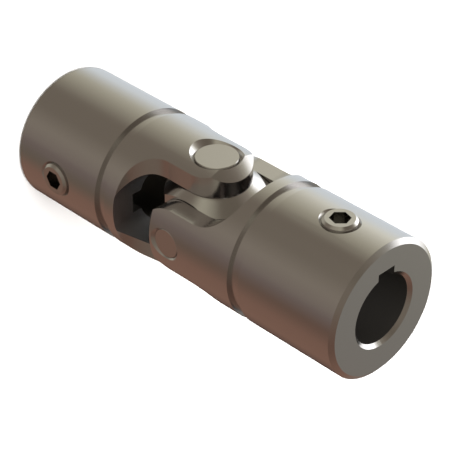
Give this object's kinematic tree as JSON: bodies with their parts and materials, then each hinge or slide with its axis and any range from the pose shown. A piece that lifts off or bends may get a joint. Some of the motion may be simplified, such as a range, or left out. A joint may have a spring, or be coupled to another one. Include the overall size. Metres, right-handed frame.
{
  "type": "universal joint",
  "caption": "Steel pin and block universal joint: two bored, keyed hubs with forked ears on crossed pins in a centre block, each hub with a set screw over its keyway.",
  "frame": {"origin": "on the joint's axis, in the end face of the lower hub that it stands on", "axes": "+Z along the straight joint from the lower hub to the upper one, +X along the small pin, +Y along the large pin; the lower set screw faces -X and the upper one +Y"},
  "size_m": [0.0324, 0.0324, 0.0953],
  "materials": {
    "yoke_steel": "bright turned and milled steel, lightly satin",
    "block_steel": "fine turned and ground steel",
    "large_pin_steel": "ground steel with faced ends",
    "small_pin_steel": "ground steel with faced ends",
    "screw_steel": "bright alloy steel"
  },
  "bodies": {
    "lower_half": {"lower_yoke": "yoke_steel", "lower_set_screw": "screw_steel"},
    "cross": {"centre_block": "block_steel", "large_pin": "large_pin_steel", "small_pin": "small_pin_steel"},
    "upper_half": {"upper_yoke": "yoke_steel", "upper_set_screw": "screw_steel"}
  },
  "joints": [
    {"name": "large_pin_hinge", "type": "hinge", "parent": "lower_half", "child": "cross", "pos_m": [0, 0, 0.04763], "axis": [0, 1, 0], "range_deg": [-35, 35]},
    {"name": "small_pin_hinge", "type": "hinge", "parent": "cross", "child": "upper_half", "pos_m": [0, 0, 0.04763], "axis": [1, 0, 0], "range_deg": [-35, 35]}
  ]
}
